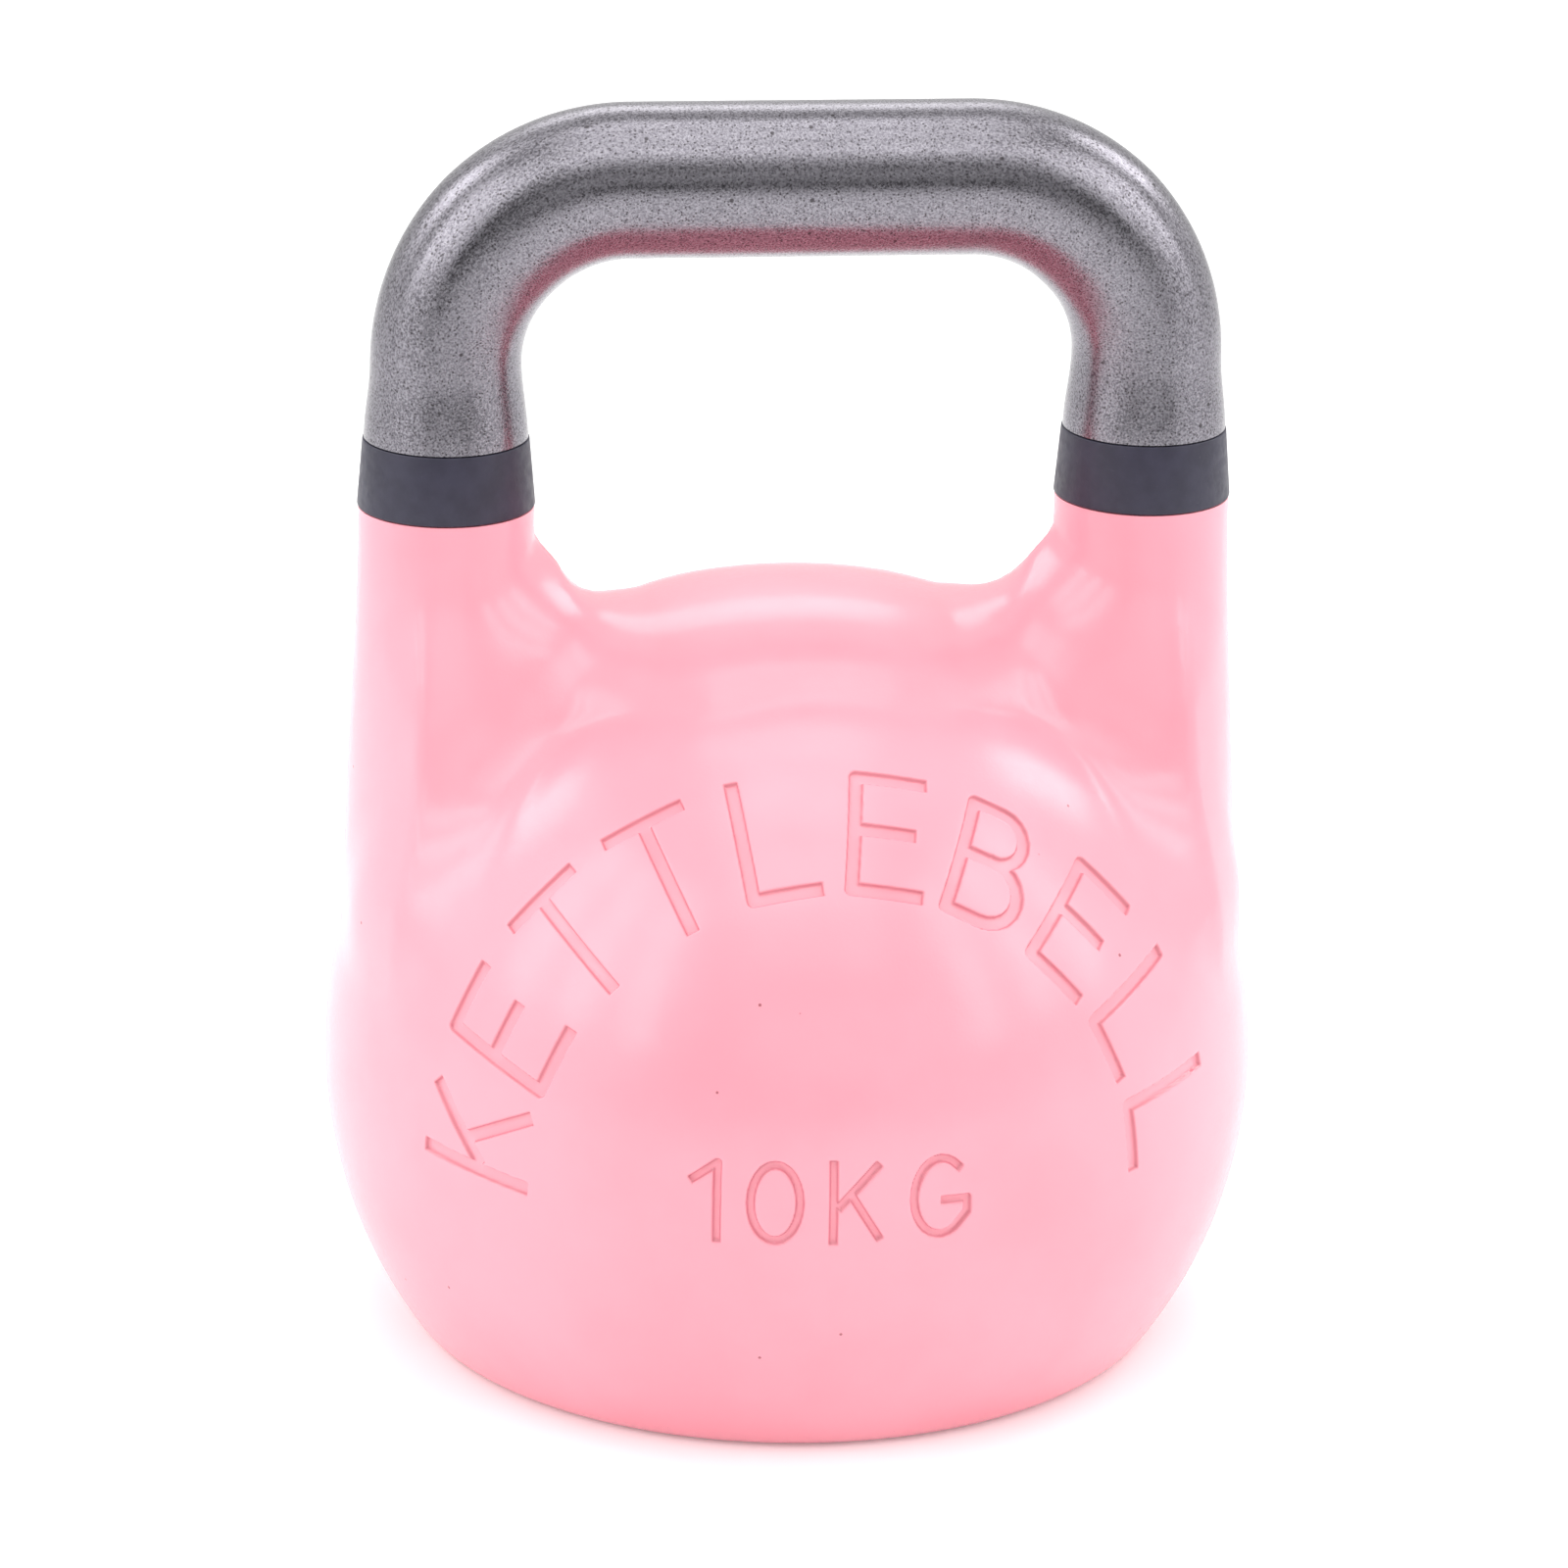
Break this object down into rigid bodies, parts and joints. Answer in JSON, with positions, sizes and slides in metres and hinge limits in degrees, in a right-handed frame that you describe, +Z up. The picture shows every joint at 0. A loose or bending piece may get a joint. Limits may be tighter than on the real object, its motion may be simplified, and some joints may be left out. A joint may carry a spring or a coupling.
{
  "type": "kettlebell",
  "caption": "Competition-style kettlebell: hollow painted ball with a flat base, two horns, and a square-cornered bare steel handle.",
  "frame": {"origin": "centre of the flat base, on the ground", "axes": "+Z up, the handle's bar along X, the marked front facing -Y"},
  "size_m": [0.21, 0.21, 0.28],
  "materials": {
    "paint": "satin pink powder coat, slight orange peel",
    "bare_steel": "bare ground steel, finely pitted",
    "band": "satin dark navy vinyl",
    "plate": "satin zinc plate",
    "plug": "satin zinc plate",
    "seal": "matte",
    "ballast": "rough iron shot bound in resin",
    "foam": "matte rigid foam"
  },
  "bodies": {
    "root": {"bell_shell": "paint", "handle": "bare_steel", "band_left": "band", "band_right": "band", "base_plate": "plate", "fill_plug": "plug", "plug_seal": "seal", "ballast_slug": "ballast", "foam_core": "foam"}
  },
  "joints": []
}
